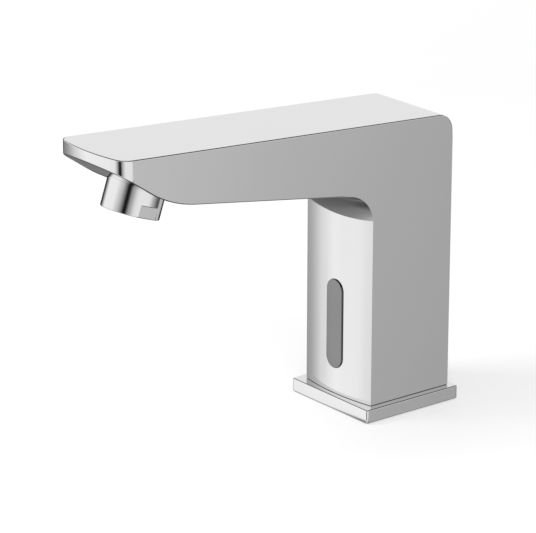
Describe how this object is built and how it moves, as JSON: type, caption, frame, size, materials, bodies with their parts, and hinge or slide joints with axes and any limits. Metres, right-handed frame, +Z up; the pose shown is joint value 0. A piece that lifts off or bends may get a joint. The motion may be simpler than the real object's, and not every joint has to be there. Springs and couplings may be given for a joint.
{
  "type": "sensor tap",
  "caption": "Deck-mounted basin tap with a square column, a long tapered spout, an infrared sensor window, a battery solenoid valve and an unscrewing aerator.",
  "frame": {"origin": "centre of the square base plate's underside, on the deck", "axes": "+Z up, -Y towards the nose of the spout and the user, +X to the right of someone who faces +Y"},
  "size_m": [0.05, 0.1731, 0.1355],
  "materials": {
    "chrome": "bright chrome plate",
    "seal_rubber": "matt black",
    "stainless": "bright stainless steel",
    "magnetic_steel": "ground ferritic stainless steel",
    "coil_steel": "zinc-plated mild steel",
    "magnet": "nickel-plated magnet",
    "contact_metal": "nickel-plated spring steel",
    "manifold_brass": "machined brass",
    "copper": "copper",
    "white_plastic": "white acetal",
    "cream_plastic": "natural glass-filled nylon",
    "blue_plastic": "blue acetal",
    "grey_plastic": "grey acetal",
    "black_plastic": "fine-textured black",
    "infrared_window": "polished smoke-grey infrared plastic",
    "board_green": "green solder mask",
    "emitter_clear": "clear blue epoxy",
    "receiver_dark": "dark epoxy",
    "red_led": "red epoxy",
    "cell_sleeve": "blue shrink sleeve on steel",
    "red_lead": "red insulation",
    "black_lead": "black insulation"
  },
  "bodies": {
    "tap": {"body_shell": "chrome", "base_plate": "chrome", "deck_seal": "seal_rubber", "foot_gasket": "seal_rubber", "body_screws": "stainless", "manifold": "manifold_brass", "inlet_filter": "stainless", "check_valve_body": "white_plastic", "check_valve_spring": "stainless", "diaphragm": "seal_rubber", "valve_bonnet": "black_plastic", "valve_screws": "stainless", "core_tube": "stainless", "core_tube_seal": "seal_rubber", "fixed_core": "magnetic_steel", "armature_spring": "stainless", "coil_bobbin": "cream_plastic", "coil_winding": "copper", "yoke_plate": "coil_steel", "latch_magnet": "magnet", "coil_can": "coil_steel", "coil_clip": "stainless", "outlet_tube": "copper", "tube_seals": "seal_rubber", "sensor_lens": "infrared_window", "lens_gasket": "seal_rubber", "sensor_housing": "black_plastic", "sensor_board": "board_green", "ir_emitter": "emitter_clear", "ir_receiver": "receiver_dark", "status_led": "red_led", "light_baffle": "black_plastic", "control_chip": "black_plastic", "board_connector": "white_plastic", "sensor_cover": "black_plastic", "sensor_screws": "stainless", "battery_holder": "black_plastic", "battery_cells": "cell_sleeve", "battery_springs": "contact_metal", "battery_strip": "contact_metal", "battery_screws": "stainless", "battery_lead": "red_lead", "coil_lead": "black_lead"},
    "armature": {"armature": "magnetic_steel", "pilot_seal": "seal_rubber"},
    "main_valve": {"diaphragm_plate": "white_plastic"},
    "check_poppet": {"check_valve_poppet": "blue_plastic"},
    "aerator_seat_washer": {"aerator_washer": "seal_rubber"},
    "aerator": {"aerator_shell": "chrome", "outlet_grid": "white_plastic", "aerator_screens": "stainless", "mixer_body": "grey_plastic", "flow_regulator": "blue_plastic", "inlet_strainer": "white_plastic"}
  },
  "joints": [
    {"name": "armature_slide", "type": "slide", "parent": "tap", "child": "armature", "axis": [0, 0, 1], "range_m": [0, 0.0018], "stiffness_N_per_m": 150, "springref_m": -0.008, "deforming": ["armature_spring"]},
    {"name": "main_valve_slide", "type": "slide", "parent": "tap", "child": "main_valve", "axis": [0, 0, 1], "range_m": [0, 0.0014], "deforming": ["diaphragm"]},
    {"name": "check_poppet_slide", "type": "slide", "parent": "tap", "child": "check_poppet", "axis": [0, 0, 1], "range_m": [0, 0.0015], "stiffness_N_per_m": 60, "springref_m": -0.003, "deforming": ["check_valve_spring"]},
    {"name": "aerator_travel", "type": "slide", "parent": "tap", "child": "aerator_seat_washer", "axis": [0, -0.3269, -0.9451], "range_m": [0, 0.0051]},
    {"name": "aerator_turn", "type": "hinge", "parent": "aerator_seat_washer", "child": "aerator", "pos_m": [0, -0.12732, 0.10627], "axis": [0, -0.3269, -0.9451], "range_deg": [0, 1800]}
  ],
  "couplings": [
    {"joint": "main_valve_slide", "follows": "armature_slide", "ratio": 0.7777},
    {"joint": "aerator_travel", "follows": "aerator_turn", "m_per_rad": 0.00015915}
  ]
}
